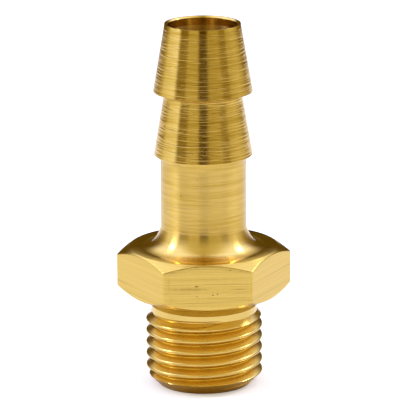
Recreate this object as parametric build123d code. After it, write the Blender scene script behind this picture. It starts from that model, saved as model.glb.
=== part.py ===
# Hose barb tail: a straight brass fitting turned in one piece from hexagon bar.
# A G 1/4 parallel pipe thread lies below the hexagon. Above it a flared shank
# carries two barbs for a push-on hose, and one bore runs right through.
#
# Frame: +Z runs up the axis to the hose end. The origin is on the axis, in the
# flat face of the threaded end. Sizes are in millimetres and degrees.

from build123d import *
import math
import os

# Lengths along the axis, in order from the threaded end
thread_length = 10.6  # threaded end to the hexagon, relief groove included
hex_height = 5.3
flare_height = 2.4  # top of the hexagon to the edge where the shank begins
shank_length = 7.8  # that edge to the underside of the lower barb
lower_barb_length = 7.2  # underside to underside
upper_barb_length = 8.1  # underside to the tip

# Hexagon bar
hex_across_flats = 17.0
hex_face_dia = 16.6  # flat ring left inside the corner chamfers
hex_chamfer_angle = 30.0  # from the flat ring

# Parallel pipe thread, Whitworth form, right hand
thread_dia = 13.157
threads_per_inch = 19
flank_angle = 27.5  # each flank, from square to the axis
groove_start = 152.0  # direction in which the groove leaves the end face

# Ends of the thread
end_chamfer_length = 1.4
end_chamfer_angle = 45.0
relief_clearance = 0.0225  # relief groove's floor below the thread's root
relief_spare = 0.06  # relief groove's length beyond one pitch
relief_chamfer_angle = 45.0

# Shank and barbs
shank_dia = 9.6
flare_radius = 3.0  # hollow, running out level on the hexagon
tip_wall = 0.35  # between the bore and the upper barb's cone, at the tip
neck_wall = 0.4548  # the same for the lower barb's cone, where it meets the upper barb
upper_barb_dia = 11.2
lower_barb_dia = 11.1
barb_edge_chamfer = 0.25  # up from the underside of each barb
barb_edge_angle = 45.0

# Bore
bore_dia = 7.8
tip_bore_chamfer = 0.2
thread_bore_chamfer = 0.5

# Heights of the shoulders
hex_bottom = thread_length
hex_top = hex_bottom + hex_height
shank_bottom = hex_top + flare_height
lower_barb_bottom = shank_bottom + shank_length
upper_barb_bottom = lower_barb_bottom + lower_barb_length
tip = upper_barb_bottom + upper_barb_length

# Whitworth form: a sharp triangle with a sixth of its height cut off flat at each end
pitch = 25.4 / threads_per_inch
flank_slope = math.tan(math.radians(flank_angle))
form_flat = pitch / 6
crest_radius = thread_dia / 2
root_radius = crest_radius - (pitch / 2 - form_flat) / flank_slope
groove_mouth = crest_radius + form_flat / 2  # the cutter stands clear of the crests
relief_radius = root_radius - relief_clearance
hex_corner_radius = hex_across_flats / 2 / math.cos(math.radians(30))
relief_bottom = hex_bottom - pitch - relief_spare


def barb(barb_dia, wall, bottom, top):
    """One barb's outline, upwards: its underside's edge, the chamfered lip and the cone."""
    lip = barb_dia / 2
    edge = lip - barb_edge_chamfer * math.tan(math.radians(barb_edge_angle))
    return [(edge, bottom), (lip, bottom + barb_edge_chamfer), (bore_dia / 2 + wall, top)]


def half_section():
    """Section from the bore to the outside, with the hexagon as wide as its corners."""
    bore = bore_dia / 2
    shank = shank_dia / 2
    ring = hex_face_dia / 2
    corner_drop = (hex_corner_radius - ring) * math.tan(math.radians(hex_chamfer_angle))
    flare_sag = flare_radius - flare_height
    flare_centre = (shank + math.sqrt(flare_radius**2 - flare_sag**2), hex_top + flare_radius)
    flare_turn = math.degrees(math.acos(flare_sag / flare_radius))
    with BuildSketch() as section:
        with BuildLine():
            Polyline(
                (shank, shank_bottom),
                (shank, lower_barb_bottom),
                *barb(lower_barb_dia, neck_wall, lower_barb_bottom, upper_barb_bottom),
                *barb(upper_barb_dia, tip_wall, upper_barb_bottom, tip),
                (bore + tip_bore_chamfer, tip),
                (bore, tip - tip_bore_chamfer),
                (bore, thread_bore_chamfer),
                (bore + thread_bore_chamfer, 0),
                (crest_radius, 0),
                (crest_radius, relief_bottom),
                (relief_radius, relief_bottom),
                (relief_radius, hex_bottom),
                (ring, hex_bottom),
                (hex_corner_radius, hex_bottom + corner_drop),
                (hex_corner_radius, hex_top - corner_drop),
                (ring, hex_top),
                (flare_centre[0], hex_top),
            )
            CenterArc(flare_centre, flare_radius, 270, -flare_turn)
        make_face()
    return section.sketch


def thread_groove():
    """Right-hand groove that starts a turn below the end and runs out in the relief."""
    mouth = form_flat / 2 + (groove_mouth - root_radius) * flank_slope
    outline = Polyline(
        (root_radius, -form_flat / 2),
        (root_radius, form_flat / 2),
        (groove_mouth, mouth),
        (groove_mouth, -mouth),
        close=True,
    )
    run_out = relief_bottom + (hex_bottom - relief_bottom) / 2
    path = Helix(pitch, run_out + pitch, root_radius, center=(0, 0, -pitch))
    section = Pos(0, 0, -pitch) * (Plane.XZ * make_face(outline))
    return Rot(0, 0, groove_start) * sweep(section, path, is_frenet=True)


def corner_cut(height, rise, run):
    """Ring that takes a corner off the threaded blank: rise along the axis, run inwards."""
    corner = Polyline(
        (crest_radius - run, height),
        (groove_mouth, height),
        (groove_mouth, height + rise * (1 + (groove_mouth - crest_radius) / run)),
        close=True,
    )
    return revolve(Plane.XZ * make_face(corner), Axis.Z)


def hexagon_bar():
    """The bar's flats, one of them square to -Y, from below the part to above it."""
    flats = RegularPolygon(hex_corner_radius, 6)
    return Pos(0, 0, -hex_height) * extrude(flats, tip + 2 * hex_height)


end_run = end_chamfer_length * math.tan(math.radians(end_chamfer_angle))
relief_run = crest_radius - relief_radius
relief_drop = relief_run / math.tan(math.radians(relief_chamfer_angle))

turned = revolve(Plane.XZ * half_section(), Axis.Z)
milled = turned & hexagon_bar()
threaded = milled - thread_groove()
hose_barb_tail = threaded - corner_cut(0, end_chamfer_length, end_run)
hose_barb_tail -= corner_cut(relief_bottom, -relief_drop, relief_run)

os.makedirs("parts", exist_ok=True)
export_step(hose_barb_tail, "parts/hose_barb_tail.step")
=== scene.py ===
# Looks of the hose barb tail, a turned brass fitting. Sizes are in millimetres
# until a mesh is made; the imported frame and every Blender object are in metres.
import math
import bpy
import numpy as np
from mathutils import Matrix, Vector


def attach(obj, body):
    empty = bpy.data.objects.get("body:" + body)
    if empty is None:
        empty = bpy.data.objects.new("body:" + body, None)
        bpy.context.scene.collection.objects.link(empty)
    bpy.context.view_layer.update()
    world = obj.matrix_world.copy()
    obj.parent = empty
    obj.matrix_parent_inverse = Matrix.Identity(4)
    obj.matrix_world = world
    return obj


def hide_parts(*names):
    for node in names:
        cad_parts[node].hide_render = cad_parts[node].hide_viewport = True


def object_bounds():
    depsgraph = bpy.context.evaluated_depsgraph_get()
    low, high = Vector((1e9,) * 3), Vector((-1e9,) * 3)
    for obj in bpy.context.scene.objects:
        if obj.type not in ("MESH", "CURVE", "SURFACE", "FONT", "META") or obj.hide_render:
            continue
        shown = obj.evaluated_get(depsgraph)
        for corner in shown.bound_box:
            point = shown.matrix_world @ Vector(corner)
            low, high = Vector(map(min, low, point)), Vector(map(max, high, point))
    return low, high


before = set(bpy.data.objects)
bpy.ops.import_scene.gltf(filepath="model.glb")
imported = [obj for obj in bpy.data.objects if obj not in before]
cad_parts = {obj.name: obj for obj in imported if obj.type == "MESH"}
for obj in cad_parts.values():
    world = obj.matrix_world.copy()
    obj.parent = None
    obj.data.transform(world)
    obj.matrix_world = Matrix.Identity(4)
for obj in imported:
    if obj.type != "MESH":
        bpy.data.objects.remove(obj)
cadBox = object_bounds()
mm = 0.001
print("stage: frame loaded")


# One way round every section: up out of the bore, over the rim, down the outside
# and back into the bore, so that all the surfaces face outwards alike.

tail = {
    "tipHeight": cadBox[1].z / mm,
    "upperBarb": 8.1,  # underside to the tip
    "lowerBarb": 7.2,  # underside to underside
    "shankLength": 7.8,
    "flareHeight": 2.4,
    "flareDia": 13.9,
    "flareStart": 14.0,  # degrees from the shank's side
    "shankDia": 9.6,
    "tipDia": 8.5,
    "upperLipDia": 11.2,
    "lowerLipDia": 11.1,
    "lipRounding": 0.4,
    "rimRounding": 0.02,
    "rimBand": 0.35,  # of the outside, faced with the rim
    "edgeBreak": 0.02,  # edges that a tool leaves crisp
    "lipReach": 0.85,  # share of the lip's rounding by which the cone runs past its widest place
    "boreDia": 7.8,
    "mouthDepth": 1.0,  # of the bore, faced with the rim
    "rimChamfer": 0.18,
    "endBoreChamfer": 0.5,
    "arcSteps": 6,
    "flareRows": 24,
    "outsideStep": 1.0,  # longest run between two rows
    "boreStep": 2.5,
    "sharpAngle": 32.0,  # edges that turn more than this stay crisp
}

upperLip = tail["tipHeight"] - tail["upperBarb"]
lowerLip = upperLip - tail["lowerBarb"]
shankFoot = lowerLip - tail["shankLength"]
hexTop = shankFoot - tail["flareHeight"]


def roundedPath(corners):
    # Joins (radius, height, rounding) corners by straight runs. A corner with a rounding
    # becomes an arc, tangent to both runs, that starts rounding * tan(turn / 2) before it.
    points = [np.array([corners[0][:2]])]
    for before, here, after in zip(corners, corners[1:], corners[2:]):
        corner = np.array(here[:2])
        if here[2] == 0:
            points.append(corner[None])
            continue
        back = np.array(before[:2]) - corner
        ahead = np.array(after[:2]) - corner
        back, ahead = back / np.hypot(*back), ahead / np.hypot(*ahead)
        turn = math.pi - math.acos(np.clip(back @ ahead, -1, 1))
        middle = (back + ahead) / np.hypot(*(back + ahead))
        centre = corner + middle * here[2] / math.cos(turn / 2)
        start = corner + back * here[2] * math.tan(turn / 2) - centre
        side = np.sign(start[0] * ahead[1] - start[1] * ahead[0])
        swing = side * np.linspace(0, turn, tail["arcSteps"] + 1)[:, None]
        across = np.array([-start[1], start[0]])
        points.append(centre + start * np.cos(swing) + across * np.sin(swing))
    points.append(np.array([corners[-1][:2]]))
    return np.concatenate(points)


def turnedGrid(path, angles):
    # Profile turned about the axis: (r cos a, r sin a, z).
    radius, height = path[:, :1], path[:, 1:]
    wide = np.ones_like(angles)
    return np.stack([radius * np.cos(angles), radius * np.sin(angles), height * wide], -1)


def straightRuns(path, longest):
    # Adds points along runs that are longer than the given length.
    parts = [path[:1]]
    for start, end in zip(path, path[1:]):
        count = max(1, math.ceil(np.hypot(*(end - start)) / longest))
        parts.append(start + (end - start) * np.linspace(0, 1, count + 1)[1:, None])
    return np.concatenate(parts)


def rimAndBarbs():
    # Bore's mouth and rim, then both barbs with rounded lips, and the shank. Both cones
    # have the slope (lip radius - tip radius) / (height of the upper barb less its rounding).
    bore = tail["boreDia"] / 2
    tip = tail["tipHeight"]
    edge = tail["edgeBreak"]
    lip = tail["lipRounding"]
    top = tail["tipDia"] / 2
    slope = (tail["upperLipDia"] / 2 - top) / (tail["upperBarb"] - lip)
    reach = slope * lip * tail["lipReach"]
    upper = tail["upperLipDia"] / 2 + reach
    lower = tail["lowerLipDia"] / 2 + reach
    shank = tail["shankDia"] / 2
    below = (top + slope * tail["rimBand"], tip - tail["rimBand"])
    rim = roundedPath([
        (bore, tip - tail["mouthDepth"], 0),
        (bore, tip - tail["rimChamfer"], edge),
        (bore + tail["rimChamfer"], tip, edge),
        (top, tip, tail["rimRounding"]),
        (*below, 0),
    ])
    barbs = roundedPath([
        (*below, 0),
        (upper, upperLip, lip),
        (lower - slope * tail["lowerBarb"], upperLip, edge),
        (lower, lowerLip, lip),
        (shank, lowerLip, edge),
        (shank, lowerLip - 2 * edge, 0),
    ])
    bar = np.array([(shank, lowerLip - 2 * edge), (shank, shankFoot)])
    return rim, straightRuns(barbs, tail["outsideStep"]), straightRuns(bar, tail["outsideStep"])


def flarePath():
    # Hollow curve from the shank's foot, a quadratic blend whose middle point lies below
    # the foot on its first slope, level with the hexagon's face.
    start = np.array([tail["shankDia"] / 2, shankFoot])
    end = np.array([tail["flareDia"] / 2, hexTop])
    slope = math.tan(math.radians(tail["flareStart"]))
    middle = start + np.array([slope, -1]) * tail["flareHeight"]
    part = np.linspace(0, 1, tail["flareRows"] + 1)[:, None]
    return (1 - part) ** 2 * start + 2 * part * (1 - part) * middle + part**2 * end


hexagon = {
    "acrossFlats": (cadBox[1].y - cadBox[0].y) / mm,
    "height": 5.3,
    "faceDia": 16.6,  # turned ring inside the corner chamfers
    "chamferAngle": 30.0,
    "cornerRounding": 0.22,
    "edgeBreak": 0.07,
    "flatColumns": 30,
    "cornerColumns": 6,
    "chamferRows": 6,
    "edgeRows": 3,
    "flatRows": 5,
}

hexFoot = hexTop - hexagon["height"]


def cornerAngles():
    # Directions of the columns, in radians: even steps across each flat, then even
    # steps over the rounded corner, which starts where the flat meets its arc.
    half = hexagon["acrossFlats"] / 2
    touch = math.atan((half - hexagon["cornerRounding"]) * math.tan(math.pi / 6) / half)
    flat = np.linspace(-touch, touch, hexagon["flatColumns"] + 1)
    corner = np.linspace(touch, math.pi / 3 - touch, hexagon["cornerColumns"] + 1)[1:-1]
    side = np.concatenate([flat, corner])
    turns = np.arange(6)[:, None] * math.pi / 3 - math.pi / 2
    angles = (turns + side).ravel()
    return np.append(angles, angles[0] + 2 * math.pi)


def hexRadius(angle):
    # Distance from the axis to the hexagon's side: half / cos(a) on a flat, and the
    # far crossing of the ray with the corner's circle near a corner.
    half = hexagon["acrossFlats"] / 2
    rounding = hexagon["cornerRounding"]
    fromFlat = np.mod(angle + math.pi / 2 + math.pi / 6, math.pi / 3) - math.pi / 6
    fromCorner = math.pi / 6 - np.abs(fromFlat)
    centre = (half - rounding) / math.cos(math.pi / 6)
    chord = np.maximum(rounding**2 - (centre * np.sin(fromCorner)) ** 2, 0)
    arc = centre * np.cos(fromCorner) + np.sqrt(chord)
    touch = math.atan((half - rounding) * math.tan(math.pi / 6) / half)
    return np.where(np.abs(fromFlat) < touch, half / np.cos(fromFlat), arc)


angles = cornerAngles()


def hexGrid():
    # The chamfer cones fall away from the face rings; each column runs from the top
    # ring over the chamfer, down the flat and back in, with its two edges rounded off.
    ring = hexagon["faceDia"] / 2
    side = hexRadius(angles)
    drop = (side - ring) * math.tan(math.radians(hexagon["chamferAngle"]))
    cut = hexagon["edgeBreak"]
    spread = np.linspace(0, 1, hexagon["chamferRows"] + 1)[:, None]
    bend = np.linspace(0, 1, hexagon["edgeRows"] + 1)[1:-1, None]
    slopeRun = cut * math.cos(math.radians(hexagon["chamferAngle"]))
    slopeFall = cut * math.sin(math.radians(hexagon["chamferAngle"]))
    chamferR = ring + (side - slopeRun - ring) * spread
    chamferZ = hexTop - (drop - slopeFall) * spread
    # Each rounded edge is a quadratic blend through the sharp corner.
    edgeR = (1 - bend) ** 2 * (side - slopeRun) + (1 - (1 - bend) ** 2) * side
    edgeZ = hexTop - drop + (1 - bend) ** 2 * slopeFall - bend**2 * cut
    flatTop = hexTop - drop - cut
    middle = (hexTop + hexFoot) / 2
    flatZ = flatTop + (middle - flatTop) * np.linspace(0, 1, hexagon["flatRows"] + 1)[:, None]
    halfR = np.concatenate([chamferR, edgeR, np.broadcast_to(side, flatZ.shape)])
    halfZ = np.concatenate([chamferZ, edgeZ, flatZ])
    radius = np.concatenate([halfR, halfR[-2::-1]])
    height = np.concatenate([halfZ, (hexTop + hexFoot) - halfZ[-2::-1]])
    return np.stack([radius * np.cos(angles), radius * np.sin(angles), height], -1)


thread = {
    "dia": 13.157,
    "turnsPerInch": 19,
    "flankAngle": 27.5,
    "grooveStart": 152.0,  # degrees, where the groove leaves the end
    "endChamfer": 1.4,
    "landDia": 11.9,  # plain band between the last groove and the neck
    "landFoot": 8.45,
    "landTop": 9.2,
    "neckDia": 10.4,  # undercut below the hexagon
    "runOut": 8.42,  # the tool starts to draw back when it reaches this height
    "flankRows": 8,
    "arcRows": 5,
}

pitch = 25.4 / thread["turnsPerInch"]


def threadGrid():
    # Rows run along the helix, z = s + pitch * angle / turn, where s is the height above
    # the groove's middle. The radius is the Whitworth form at s or the turned blank at z,
    # whichever is less. Rows that pass an end are held at it, and fold away when welded.
    # Past the run-out height the form moves outwards by twice the further rise.
    flank = math.radians(thread["flankAngle"])
    sharp = pitch / 2 / math.tan(flank)
    cut = sharp / 6
    rounding = cut / (1 / math.sin(flank) - 1)
    crest = thread["dia"] / 2
    root = crest - sharp + 2 * cut
    swing = math.pi / 2 - flank
    crestArc = np.linspace(0, swing, thread["arcRows"] + 1)
    rootArc = np.linspace(swing, -swing, 2 * thread["arcRows"] + 1)
    crestS = pitch / 2 - rounding * np.sin(crestArc)
    crestR = crest - rounding + rounding * np.cos(crestArc)
    rootS = rounding * np.sin(rootArc)
    rootR = root + rounding - rounding * np.cos(rootArc)
    part = np.linspace(0, 1, thread["flankRows"] + 1)[1:-1]
    flankS = crestS[-1] + (rootS[0] - crestS[-1]) * part
    flankR = crestR[-1] + (rootR[0] - crestR[-1]) * part
    formS = np.concatenate([crestS, flankS, rootS, -flankS[::-1], -crestS[::-1]])
    formR = np.concatenate([crestR, flankR, rootR, flankR[::-1], crestR[::-1]])
    turns = np.arange(-3, math.ceil(thread["landTop"] / pitch) + 2)[:, None]
    along = (angles[:-1] + 2 * math.pi * turns).ravel()
    lead = pitch * (along - math.radians(thread["grooveStart"])) / (2 * math.pi)
    height = np.clip(formS[:, None] + lead, 0, thread["landTop"])
    land = thread["landDia"] / 2 + np.maximum(thread["landFoot"] - height, 0)
    blank = np.minimum(np.minimum(crest - thread["endChamfer"] + height, land), crest)
    drawnBack = 2 * np.maximum(lead - thread["runOut"], 0)
    radius = np.minimum(formR[:, None] + drawnBack, blank)
    return np.stack([radius * np.cos(along), radius * np.sin(along), height], -1)


def endAndBore():
    # Flat end, the bore's lower chamfer, and the bore up to its mouth.
    bore = tail["boreDia"] / 2
    outer = thread["dia"] / 2 - thread["endChamfer"]
    chamfer = tail["endBoreChamfer"]
    end = np.array([(outer, 0.0), (bore + chamfer, 0.0), (bore, chamfer)])
    mouth = tail["tipHeight"] - tail["mouthDepth"]
    wall = straightRuns(np.array([(bore, chamfer), (bore, mouth)]), tail["boreStep"])
    return end, wall


def weld(name, grids, looks):
    # Quads between neighbouring grid points, split into triangles. Points that fall on
    # the same place become one, and triangles that lose a corner by that are left out.
    points, corners, finish = [], [], []
    start = 0
    for grid, look in grids:
        rows, columns = grid.shape[:2]
        index = start + np.arange(rows * columns).reshape(rows, columns)
        quads = np.stack([index[:-1, :-1], index[1:, :-1], index[1:, 1:], index[:-1, 1:]], -1)
        quads = quads.reshape(-1, 4)
        split = np.concatenate([quads[:, [0, 1, 2]], quads[:, [0, 2, 3]]])
        points.append(grid.reshape(-1, 3))
        corners.append(split)
        finish.append(np.full(len(split), looks.index(look)))
        start += rows * columns
    points = np.concatenate(points)
    perMm = 1e5  # points that round to the same place on this scale are one
    keys = np.round(points * perMm).astype(np.int64)
    _, first, place = np.unique(keys, axis=0, return_index=True, return_inverse=True)
    corners = place.reshape(-1)[np.concatenate(corners)]
    finish = np.concatenate(finish)
    a, b, c = corners.T
    whole = (a != b) & (b != c) & (c != a)
    mesh = bpy.data.meshes.new(name)
    mesh.from_pydata((points[first] * mm).tolist(), [], corners[whole].tolist())
    mesh.polygons.foreach_set("material_index", finish[whole].astype(np.int32))
    mesh.polygons.foreach_set("use_smooth", np.ones(whole.sum(), bool))
    mesh.set_sharp_from_angle(angle=math.radians(tail["sharpAngle"]))
    mesh.update()
    piece = bpy.data.objects.new(name, mesh)
    bpy.context.collection.objects.link(piece)
    return piece


def giveBevelShade(piece, look):
    # Faces on the end's bevel, where radius less height is the same everywhere, get the end's finish,
    # whose colour is painted shade.
    mesh = piece.data
    middles = np.empty(len(mesh.polygons) * 3)
    mesh.polygons.foreach_get("center", middles)
    x, y, z = middles.reshape(-1, 3).T / mm
    foot = thread["dia"] / 2 - thread["endChamfer"]
    near = 0.02
    onBevel = (np.abs(np.hypot(x, y) - z - foot) < near) & (z < thread["endChamfer"])
    slots = np.empty(len(mesh.polygons), np.int32)
    mesh.polygons.foreach_get("material_index", slots)
    mesh.polygons.foreach_set("material_index", np.where(onBevel, look, slots).astype(np.int32))


# The seat runs from the hexagon's lower face in to the neck, and out over a cone with
# sides at 45 degrees to the plain band.
neck = thread["neckDia"] / 2
seatPath = np.array([
    (hexagon["faceDia"] / 2, hexFoot),
    (neck, hexFoot),
    (neck, thread["landTop"] + thread["landDia"] / 2 - neck),
    (thread["landDia"] / 2, thread["landTop"]),
])
ringPath = np.array([flarePath()[-1], (hexagon["faceDia"] / 2, hexTop)])
rimPath, barbPath, shankPath = rimAndBarbs()
endPath, borePath = endAndBore()

finishes = ["turned", "shank", "polished", "faced", "milled", "seatShaded", "cut", "bored", "end"]
tailPiece = weld("hoseBarbTail", [
    (turnedGrid(rimPath, angles), "faced"),
    (turnedGrid(barbPath, angles), "turned"),
    (turnedGrid(shankPath, angles), "shank"),
    (turnedGrid(flarePath(), angles), "polished"),
    (turnedGrid(ringPath, angles), "faced"),
    (hexGrid(), "milled"),
    (turnedGrid(seatPath, angles), "seatShaded"),
    (threadGrid(), "cut"),
    (turnedGrid(endPath, angles), "end"),
    (turnedGrid(borePath, angles), "bored"),
], finishes)
giveBevelShade(tailPiece, finishes.index("end"))
print("stage: tail made,", len(tailPiece.data.polygons), "triangles")


# Materials

brass = {
    "clean": (0.81, 0.56, 0.15, 1.0),
    "milled": (0.80, 0.55, 0.125, 1.0),
    # crest is a little lighter than clean brass: painted light on the thread's crests and on the plain
    # band above the thread.
    "crest": (0.84, 0.60, 0.17, 1.0),
    # seatShaded is darker brass: painted shade under the hexagon, on its lower face, the neck and the
    # cone down to the plain band.
    "seatShaded": (0.72, 0.52, 0.14, 1.0),
    # grooveShade is painted shade: the darker, more saturated colour at the bottom of the thread's
    # grooves.
    "grooveShade": (0.70, 0.41, 0.04, 1.0),  # at the bottom of the thread
    # bevelShade is painted shade: the dark colour of the flat end and of its bevel, which faces the
    # floor just under the part.
    "bevelShade": (0.50, 0.27, 0.008, 1.0),  # on the cut end
    "deep": (0.72, 0.66, 0.33, 1.0),  # tint in the valleys of the tool marks
    "scored": (0.30, 0.18, 0.03, 1.0),  # in single deeper lines
}

# Painted shade in the thread: the colour darkens towards the floor of each groove.
grooveShadeTint = {
    "floor": 5.8,  # distances from the axis between which the colour turns from that
    "mouth": 6.1,  # of the groove to that of the crest
    "top": 8.3,  # height where the grooves end
}

toolLines = {
    "broadScale": 0.33,  # scale of the broad noise to that of the fine one
    "broadShare": 0.35,
    "valley": 0.38,  # noise at the bottom and at the top of a line
    "ridge": 0.62,
    "scoreEdge": 0.6,  # noise at the edge and in the middle of a deeper line
    "scoreMiddle": 0.68,
}

marks = {
    # colour in the groove and outside it, roughness, grain (how far reflections spread
    # along the axis), noise per metre across and along the axis, height of the marks in
    # metres, share of the valleys' tint, share of the scored colour
    "turned": ("clean", "clean", 0.17, 0.7, 230, 5000, 1.5e-5, 0.9, 0.6),
    "shank": ("clean", "clean", 0.27, 0.95, 200, 6500, 4.0e-6, 0.75, 0.3),
    "polished": ("clean", "clean", 0.19, 1.0, 160, 3600, 1.5e-6, 0.3, 0.1),
    "faced": ("clean", "clean", 0.11, 0.5, 900, 900, 1.5e-6, 0.4, 0.4),
    "milled": ("milled", "milled", 0.21, 0.9, 26, 6500, 5.0e-6, 0.25, 0.5),
    "seatShaded": ("seatShaded", "seatShaded", 0.26, 0.8, 300, 4000, 2.0e-6, 0.2, 0.2),
    "cut": ("grooveShade", "crest", 0.23, 0.7, 300, 4000, 2.0e-6, 0.2, 0.2),
    "bored": ("clean", "clean", 0.25, 0.97, 200, 2500, 2.0e-6, 0.1, 0.1),
    "end": ("bevelShade", "bevelShade", 0.26, 0.6, 900, 900, 2.0e-6, 0.5, 0.3),
}

# Shape of the ovals, for the nicks and for the painted edge shade alike.
ovalShape = {
    "noise": 2600.0,  # per metre
    "wander": 1.0,  # how far the noise moves an edge, in half widths
    "core": 0.4,  # distances from the middle, in half widths, where a nick starts to
    "edge": 1.1,  # fade and where it ends
    "sink": 2.0,  # how deep a nick of depth 1 is, in heights of the tool marks
}

nicksAndEdgeShade = {
    # on the front only: place across and up, half width and half height, then depth, which
    # is the scored colour's share in the middle
    "milled": [
        (-1.24, 13.50, 0.32, 0.08, 0.9), (0.57, 12.49, 0.13, 0.08, 0.85),
        (1.07, 12.59, 0.11, 0.08, 0.85), (-1.20, 12.35, 0.15, 0.07, 0.7),
        (2.45, 15.30, 0.15, 0.10, 0.8), (0.25, 12.55, 0.10, 0.06, 0.4),
        (-2.10, 13.20, 2.50, 0.16, 0.4), (-2.00, 13.06, 2.10, 0.12, 0.25),
        (3.40, 13.10, 1.00, 0.14, 0.25), (3.40, 12.68, 1.10, 0.10, 0.2),
        (-0.30, 14.25, 4.20, 0.09, 0.18), (2.00, 13.75, 3.20, 0.08, 0.15),
        (1.40, 12.12, 4.00, 0.08, 0.25), (-2.40, 12.65, 1.60, 0.08, 0.2),
        # The narrow, tall ovals close to the sides of the face, at -4.32 to -3.55 and at 4.85 across,
        # are painted shade: dark lines along the face's rounded vertical edges.
        (-0.30, 11.60, 3.40, 0.08, 0.2), (-4.15, 12.00, 0.07, 0.50, 0.3),
        (-3.85, 12.00, 0.06, 0.45, 0.25), (-3.55, 11.95, 0.06, 0.40, 0.2),
        (-4.32, 13.70, 0.08, 1.20, 0.3), (4.85, 13.00, 0.08, 2.00, 0.2),
    ],
    "shank": [
        (-2.69, 22.68, 0.10, 0.09, 0.8), (-0.94, 24.67, 0.16, 0.08, 0.5),
        (-0.94, 23.64, 0.13, 0.07, 0.5),
    ],
}


def addNode(tree, kind, values=(), **settings):
    # Settings come first, because some of them change which inputs there are.
    made = tree.nodes.new(kind)
    for key, value in settings.items():
        setattr(made, key, value)
    for key, value in dict(values).items():
        made.inputs[key].default_value = value
    return made


def toolMarks():
    # Fine lines round the part: noise squeezed along the axis,
    # (1 - broadShare) * fine + broadShare * broad, spread to 0 to 1.
    tree = bpy.data.node_groups.new("toolMarks", "ShaderNodeTree")
    for name in ("Across", "Along"):
        tree.interface.new_socket(name, in_out="INPUT", socket_type="NodeSocketFloat")
    for name in ("Lines", "Scores"):
        tree.interface.new_socket(name, in_out="OUTPUT", socket_type="NodeSocketFloat")
    given = addNode(tree, "NodeGroupInput")
    result = addNode(tree, "NodeGroupOutput")
    coordinates = addNode(tree, "ShaderNodeTexCoord")
    squeeze = addNode(tree, "ShaderNodeCombineXYZ")
    fine = addNode(tree, "ShaderNodeVectorMath", operation="MULTIPLY")
    broad = addNode(tree, "ShaderNodeVectorMath", operation="SCALE")
    broad.inputs["Scale"].default_value = toolLines["broadScale"]
    fineNoise = addNode(tree, "ShaderNodeTexNoise", {"Scale": 1.0, "Detail": 2.0})
    broadNoise = addNode(tree, "ShaderNodeTexNoise", {"Scale": 1.0, "Detail": 1.0})
    blend = addNode(tree, "ShaderNodeMix", {"Factor": toolLines["broadShare"]}, data_type="FLOAT")
    spread = addNode(tree, "ShaderNodeMapRange")
    spread.inputs["From Min"].default_value = toolLines["valley"]
    spread.inputs["From Max"].default_value = toolLines["ridge"]
    sparse = addNode(tree, "ShaderNodeMapRange")
    sparse.inputs["From Min"].default_value = toolLines["scoreEdge"]
    sparse.inputs["From Max"].default_value = toolLines["scoreMiddle"]
    link = tree.links.new
    link(given.outputs["Across"], squeeze.inputs["X"])
    link(given.outputs["Across"], squeeze.inputs["Y"])
    link(given.outputs["Along"], squeeze.inputs["Z"])
    link(coordinates.outputs["Object"], fine.inputs[0])
    link(squeeze.outputs[0], fine.inputs[1])
    link(fine.outputs[0], broad.inputs[0])
    link(fine.outputs[0], fineNoise.inputs["Vector"])
    link(broad.outputs[0], broadNoise.inputs["Vector"])
    link(fineNoise.outputs[0], blend.inputs["A"])
    link(broadNoise.outputs[0], blend.inputs["B"])
    link(blend.outputs["Result"], spread.inputs[0])
    link(fineNoise.outputs[0], sparse.inputs[0])
    link(spread.outputs[0], result.inputs["Lines"])
    link(sparse.outputs[0], result.inputs["Scores"])
    return tree


def nickAndEdgeShadeMask(name, ovals):
    # The greatest of all ovals. Each falls from its depth to 0 by its distance
    # sqrt((x / wide)^2 + (z / high)^2) plus a little noise. Only the front has them.
    tree = bpy.data.node_groups.new(name + "NicksAndEdgeShade", "ShaderNodeTree")
    tree.interface.new_socket("Mask", in_out="OUTPUT", socket_type="NodeSocketFloat")
    result = addNode(tree, "NodeGroupOutput")
    coordinates = addNode(tree, "ShaderNodeTexCoord")
    noise = addNode(tree, "ShaderNodeTexNoise", {"Scale": ovalShape["noise"], "Detail": 1.0})
    moves = {1: ovalShape["wander"], 2: -ovalShape["wander"] / 2}
    wander = addNode(tree, "ShaderNodeMath", moves, operation="MULTIPLY_ADD")
    parts = addNode(tree, "ShaderNodeSeparateXYZ")
    front = addNode(tree, "ShaderNodeMath", {1: 0.0}, operation="LESS_THAN")
    link = tree.links.new
    link(coordinates.outputs["Object"], noise.inputs["Vector"])
    link(noise.outputs[0], wander.inputs[0])
    link(coordinates.outputs["Object"], parts.inputs[0])
    link(parts.outputs["Y"], front.inputs[0])
    greatest = addNode(tree, "ShaderNodeValue").outputs[0]
    for across, height, wide, high, depth in ovals:
        place = addNode(tree, "ShaderNodeVectorMath", operation="SUBTRACT")
        place.inputs[1].default_value = (across * mm, 0, height * mm)
        size = addNode(tree, "ShaderNodeVectorMath", operation="MULTIPLY")
        size.inputs[1].default_value = (1 / (wide * mm), 0, 1 / (high * mm))
        reach = addNode(tree, "ShaderNodeVectorMath", operation="LENGTH")
        moved = addNode(tree, "ShaderNodeMath", operation="ADD")
        fade = addNode(tree, "ShaderNodeMapRange", {"To Min": depth, "To Max": 0.0})
        fade.inputs["From Min"].default_value = ovalShape["core"]
        fade.inputs["From Max"].default_value = ovalShape["edge"]
        most = addNode(tree, "ShaderNodeMath", operation="MAXIMUM")
        link(coordinates.outputs["Object"], place.inputs[0])
        link(place.outputs[0], size.inputs[0])
        link(size.outputs[0], reach.inputs[0])
        link(reach.outputs["Value"], moved.inputs[0])
        link(wander.outputs[0], moved.inputs[1])
        link(moved.outputs[0], fade.inputs[0])
        link(fade.outputs[0], most.inputs[0])
        link(greatest, most.inputs[1])
        greatest = most.outputs[0]
    limited = addNode(tree, "ShaderNodeMath", operation="MULTIPLY")
    link(greatest, limited.inputs[0])
    link(front.outputs[0], limited.inputs[1])
    link(limited.outputs[0], result.inputs["Mask"])
    return tree


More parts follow.
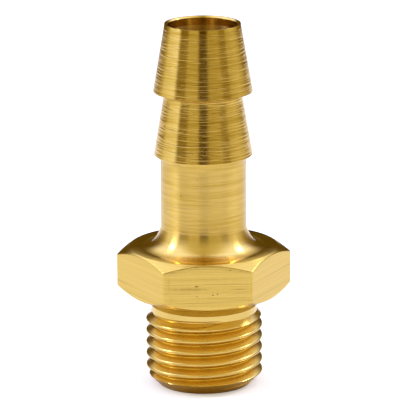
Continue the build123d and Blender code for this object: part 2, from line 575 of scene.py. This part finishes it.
def grooveShadeShare():
    # Mask of the painted groove shade: 0 (full shade) at the groove's floor, 1 at its mouth, by the
    # distance from the axis; 1 higher up.
    tree = bpy.data.node_groups.new("grooveShadeShare", "ShaderNodeTree")
    tree.interface.new_socket("Share", in_out="OUTPUT", socket_type="NodeSocketFloat")
    result = addNode(tree, "NodeGroupOutput")
    coordinates = addNode(tree, "ShaderNodeTexCoord")
    level = addNode(tree, "ShaderNodeVectorMath", operation="MULTIPLY")
    level.inputs[1].default_value = (1, 1, 0)
    reach = addNode(tree, "ShaderNodeVectorMath", operation="LENGTH")
    share = addNode(tree, "ShaderNodeMapRange")
    share.inputs["From Min"].default_value = grooveShadeTint["floor"] * mm
    share.inputs["From Max"].default_value = grooveShadeTint["mouth"] * mm
    parts = addNode(tree, "ShaderNodeSeparateXYZ")
    above = addNode(tree, "ShaderNodeMath", {1: grooveShadeTint["top"] * mm}, operation="GREATER_THAN")
    either = addNode(tree, "ShaderNodeMath", operation="MAXIMUM")
    link = tree.links.new
    link(coordinates.outputs["Object"], level.inputs[0])
    link(level.outputs[0], reach.inputs[0])
    link(reach.outputs["Value"], share.inputs[0])
    link(coordinates.outputs["Object"], parts.inputs[0])
    link(parts.outputs["Z"], above.inputs[0])
    link(share.outputs[0], either.inputs[0])
    link(above.outputs[0], either.inputs[1])
    link(either.outputs[0], result.inputs["Share"])
    return tree


def brassMaterial(name, lines, grooveShadeGroup):
    # The grain runs round the part, so reflections spread along the axis: the tangent is
    # turned a quarter from the way round. Colour: the plain one, tinted by
    # valleys * (1 - lines), then mixed to the scored one by the greater of scores and the mask of
    # nicks and painted edge shade.
    inside, outside, roughness, grain, across, along, height, valleys, scores = marks[name]
    material = bpy.data.materials.new(name + "Brass")
    material.use_nodes = True
    tree = material.node_tree
    shader = tree.nodes["Principled BSDF"]
    shader.inputs["Metallic"].default_value = 1.0
    shader.inputs["Roughness"].default_value = roughness
    shader.inputs["Anisotropic"].default_value = grain
    shader.inputs["Anisotropic Rotation"].default_value = 0.25
    way = addNode(tree, "ShaderNodeTangent", direction_type="RADIAL", axis="Z")
    group = addNode(tree, "ShaderNodeGroup", node_tree=lines)
    group.inputs["Across"].default_value = across
    group.inputs["Along"].default_value = along
    grooveShade = addNode(tree, "ShaderNodeGroup", node_tree=grooveShadeGroup)
    # On the cut thread, plain is the groove's painted shade mixed to the lighter crest colour by the
    # groove share.
    plain = addNode(tree, "ShaderNodeMix", data_type="RGBA")
    plain.inputs["A"].default_value = brass[inside]
    plain.inputs["B"].default_value = brass[outside]
    share = addNode(tree, "ShaderNodeMath", {1: -valleys, 2: valleys}, operation="MULTIPLY_ADD")
    valley = addNode(tree, "ShaderNodeMix", data_type="RGBA", blend_type="MULTIPLY")
    valley.inputs["B"].default_value = brass["deep"]
    depth = addNode(tree, "ShaderNodeMath", {1: scores}, operation="MULTIPLY")
    scored = addNode(tree, "ShaderNodeMix", data_type="RGBA")
    scored.inputs["B"].default_value = brass["scored"]
    nickedOrShaded = addNode(tree, "ShaderNodeGroup", node_tree=nickAndEdgeShadeMask(name, nicksAndEdgeShade.get(name, [])))
    deepest = addNode(tree, "ShaderNodeMath", operation="MAXIMUM")
    sunk = addNode(tree, "ShaderNodeMath", {1: -ovalShape["sink"]}, operation="MULTIPLY_ADD")
    bump = addNode(tree, "ShaderNodeBump", {"Strength": 1.0, "Distance": height})
    link = tree.links.new
    link(way.outputs[0], shader.inputs["Tangent"])
    link(grooveShade.outputs["Share"], plain.inputs["Factor"])
    link(group.outputs["Lines"], share.inputs[0])
    link(plain.outputs["Result"], valley.inputs["A"])
    link(share.outputs[0], valley.inputs["Factor"])
    link(group.outputs["Scores"], depth.inputs[0])
    link(depth.outputs[0], deepest.inputs[0])
    link(nickedOrShaded.outputs["Mask"], deepest.inputs[1])
    link(deepest.outputs[0], scored.inputs["Factor"])
    link(valley.outputs["Result"], scored.inputs["A"])
    link(scored.outputs["Result"], shader.inputs["Base Color"])
    link(nickedOrShaded.outputs["Mask"], sunk.inputs[0])
    link(group.outputs["Lines"], sunk.inputs[2])
    link(sunk.outputs[0], bump.inputs["Height"])
    link(bump.outputs[0], shader.inputs["Normal"])
    return material


sharedMarks, sharedGrooveShade = toolMarks(), grooveShadeShare()
for finish in finishes:
    tailPiece.data.materials.append(brassMaterial(finish, sharedMarks, sharedGrooveShade))

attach(tailPiece, "root")
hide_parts("hose_barb_tail")
print("stage: materials made")


# Studio

studio = {
    "floorSize": 0.5,
    "floorColour": (0.93, 0.93, 0.93, 1.0),
    "floorGlow": 0.3,  # added where the camera sees the floor, so that its paper is white
    "facing": -2.82,  # degrees, the front of the studio, turned as the camera is
    "riseFrom": 0.25,  # sine of the height where the upper light starts to take over
    "riseTo": 0.58,
    "brightest": 2.0,  # most light that either band may have
    "greenPower": 1.25,  # dim light is warmer
    "bluePower": 2.6,
    "lamps": {"leftLamp": (-90, 33), "rightLamp": (108, 40)},  # degrees round and up
    "lampAim": 0.02,  # height on the part that the lamps face
    "lampRadiance": 12.0,
    "lampDistance": 0.8,
    "lampWidth": 14.5,  # degrees across, as seen from the part
}

# Each stop is (degrees round from the front, light): just above the floor, and high up.
lowBand = [
    (-180, 0.12), (-150, 0.15), (-130, 0.25), (-118, 0.5), (-104, 0.95), (-72, 1.15),
    (-64, 0.27), (-44, 0.32), (-38, 0.62), (-14, 0.62), (-8, 0.11), (8, 0.09),
    (16, 0.5), (44, 0.55), (50, 0.34), (64, 0.34), (72, 0.62), (96, 0.75),
    (112, 0.6), (125, 0.3), (145, 0.22), (165, 0.12), (180, 0.12),
]
highBand = [
    (-180, 0.5), (-160, 0.9), (-140, 1.4), (-80, 1.4), (-60, 1.1), (-40, 0.8),
    (0, 0.68), (40, 0.8), (60, 1.0), (80, 1.3), (130, 1.5), (150, 1.0), (180, 0.5),
]


def bandRamp(tree, stops):
    # Red is the light, green and blue are the light to their own powers, all over the
    # brightest, which the background multiplies back.
    most = studio["brightest"]
    ramp = tree.nodes.new("ShaderNodeValToRGB")
    elements = ramp.color_ramp.elements
    while len(elements) > 1:
        elements.remove(elements[-1])
    for number, (degrees, light) in enumerate(stops):
        place = degrees / 360 + 0.5
        stop = elements[0] if number == 0 else elements.new(place)
        stop.position = place
        green, blue = light ** studio["greenPower"], light ** studio["bluePower"]
        stop.color = (light / most, green / most, blue / most, 1)
    return ramp


def studioWorld():
    # Light by direction: one ramp round the horizon, one round the upper half, read at
    # bearing / (2 pi) + 0.5 and blended by height. The camera alone sees plain white there.
    world = bpy.data.worlds.new("studioWorld")
    bpy.context.scene.world = world
    world.use_nodes = True
    tree = world.node_tree
    tree.nodes.clear()
    coordinates = addNode(tree, "ShaderNodeTexCoord")
    turn = addNode(tree, "ShaderNodeMapping", vector_type="POINT")
    turn.inputs["Rotation"].default_value = (0, 0, math.radians(-studio["facing"]))
    axes = addNode(tree, "ShaderNodeSeparateXYZ")
    away = addNode(tree, "ShaderNodeMath", {1: -1.0}, operation="MULTIPLY")
    bearing = addNode(tree, "ShaderNodeMath", operation="ARCTAN2")
    turnShare = {1: 1 / (2 * math.pi), 2: 0.5}
    share = addNode(tree, "ShaderNodeMath", turnShare, operation="MULTIPLY_ADD")
    low = bandRamp(tree, lowBand)
    high = bandRamp(tree, highBand)
    rise = addNode(tree, "ShaderNodeMapRange", interpolation_type="SMOOTHSTEP")
    rise.inputs["From Min"].default_value = studio["riseFrom"]
    rise.inputs["From Max"].default_value = studio["riseTo"]
    mix = addNode(tree, "ShaderNodeMix", data_type="RGBA")
    light = addNode(tree, "ShaderNodeBackground", {"Strength": studio["brightest"]})
    plain = addNode(tree, "ShaderNodeBackground", {"Color": (1, 1, 1, 1), "Strength": 1.0})
    path = addNode(tree, "ShaderNodeLightPath")
    either = addNode(tree, "ShaderNodeMixShader")
    output = addNode(tree, "ShaderNodeOutputWorld")
    link = tree.links.new
    link(coordinates.outputs["Generated"], turn.inputs["Vector"])
    link(turn.outputs[0], axes.inputs[0])
    link(axes.outputs["Y"], away.inputs[0])
    link(axes.outputs["X"], bearing.inputs[0])
    link(away.outputs[0], bearing.inputs[1])
    link(bearing.outputs[0], share.inputs[0])
    link(share.outputs[0], low.inputs[0])
    link(share.outputs[0], high.inputs[0])
    link(axes.outputs["Z"], rise.inputs[0])
    link(rise.outputs[0], mix.inputs[0])
    link(low.outputs[0], mix.inputs["A"])
    link(high.outputs[0], mix.inputs["B"])
    link(mix.outputs["Result"], light.inputs["Color"])
    link(path.outputs["Is Camera Ray"], either.inputs[0])
    link(light.outputs[0], either.inputs[1])
    link(plain.outputs[0], either.inputs[2])
    link(either.outputs[0], output.inputs["Surface"])


def studioFloor():
    # A square sheet of paper. It glows only for the camera, so it lights nothing.
    half = studio["floorSize"] / 2
    corners = [(-half, -half, 0), (half, -half, 0), (half, half, 0), (-half, half, 0)]
    mesh = bpy.data.meshes.new("floor")
    mesh.from_pydata(corners, [], [(0, 1, 2, 3)])
    floor = bpy.data.objects.new("floor", mesh)
    bpy.context.collection.objects.link(floor)
    material = bpy.data.materials.new("floorPaper")
    material.use_nodes = True
    shader = material.node_tree.nodes["Principled BSDF"]
    shader.inputs["Base Color"].default_value = studio["floorColour"]
    shader.inputs["Roughness"].default_value = 0.9
    shader.inputs["Specular IOR Level"].default_value = 0.0
    shader.inputs["Emission Color"].default_value = (1, 1, 1, 1)
    seen = addNode(material.node_tree, "ShaderNodeLightPath")
    glow = addNode(material.node_tree, "ShaderNodeMath", operation="MULTIPLY")
    glow.inputs[1].default_value = studio["floorGlow"]
    material.node_tree.links.new(seen.outputs["Is Camera Ray"], glow.inputs[0])
    material.node_tree.links.new(glow.outputs[0], shader.inputs["Emission Strength"])
    mesh.materials.append(material)


def softLamp(name, around, height):
    # Round lamp at (around, height) degrees that faces the part; power is
    # radiance * pi * area.
    distance = studio["lampDistance"]
    size = 2 * distance * math.tan(math.radians(studio["lampWidth"] / 2))
    data = bpy.data.lights.new(name, "AREA")
    data.shape = "DISK"
    data.size = size
    data.energy = studio["lampRadiance"] * math.pi * math.pi * size**2 / 4
    lamp = bpy.data.objects.new(name, data)
    turn, lift = math.radians(around + studio["facing"]), math.radians(height)
    place = Vector((math.sin(turn) * math.cos(lift), -math.cos(turn) * math.cos(lift), math.sin(lift)))
    lamp.location = place * distance + Vector((0, 0, studio["lampAim"]))
    lamp.rotation_euler = place.to_track_quat("Z", "Y").to_euler()
    bpy.context.collection.objects.link(lamp)


studioWorld()
studioFloor()
for lampName, (around, height) in studio["lamps"].items():
    softLamp(lampName, around, height)
print("stage: studio made")


# Camera

view = {
    "around": studio["facing"],  # degrees from the front
    "above": 14.56,  # degrees
    "distance": 409.3,
    "aimHeight": 21.145,
    "aimAside": -0.39,
    "tilt": 0.327,  # degrees about its own line of sight
    "lens": 328.48,
    "sensorWidth": 36,
    "nearest": 0.01,  # metres
    "farthest": 20,
}


def studioCamera():
    # Stands at aim + back * distance and looks along -back, with its sides level but for
    # the tilt.
    data = bpy.data.cameras.new("camera")
    data.lens = view["lens"]
    data.sensor_width = view["sensorWidth"]
    data.clip_start, data.clip_end = view["nearest"], view["farthest"]
    camera = bpy.data.objects.new("camera", data)
    bpy.context.collection.objects.link(camera)
    turn, lift = math.radians(view["around"]), math.radians(view["above"])
    back = Vector((math.sin(turn) * math.cos(lift), -math.cos(turn) * math.cos(lift), math.sin(lift)))
    right = Vector((math.cos(turn), math.sin(turn), 0))
    up = back.cross(right)
    axes = Matrix((right, up, back)).transposed().to_4x4()
    aim = Vector((0, 0, view["aimHeight"])) + right * view["aimAside"]
    place = Matrix.Translation((aim + back * view["distance"]) * mm)
    camera.matrix_world = place @ axes @ Matrix.Rotation(math.radians(-view["tilt"]), 4, "Z")
    bpy.context.scene.camera = camera


studioCamera()
print("stage: camera placed")
bpy.context.scene.view_settings.view_transform = "Standard"
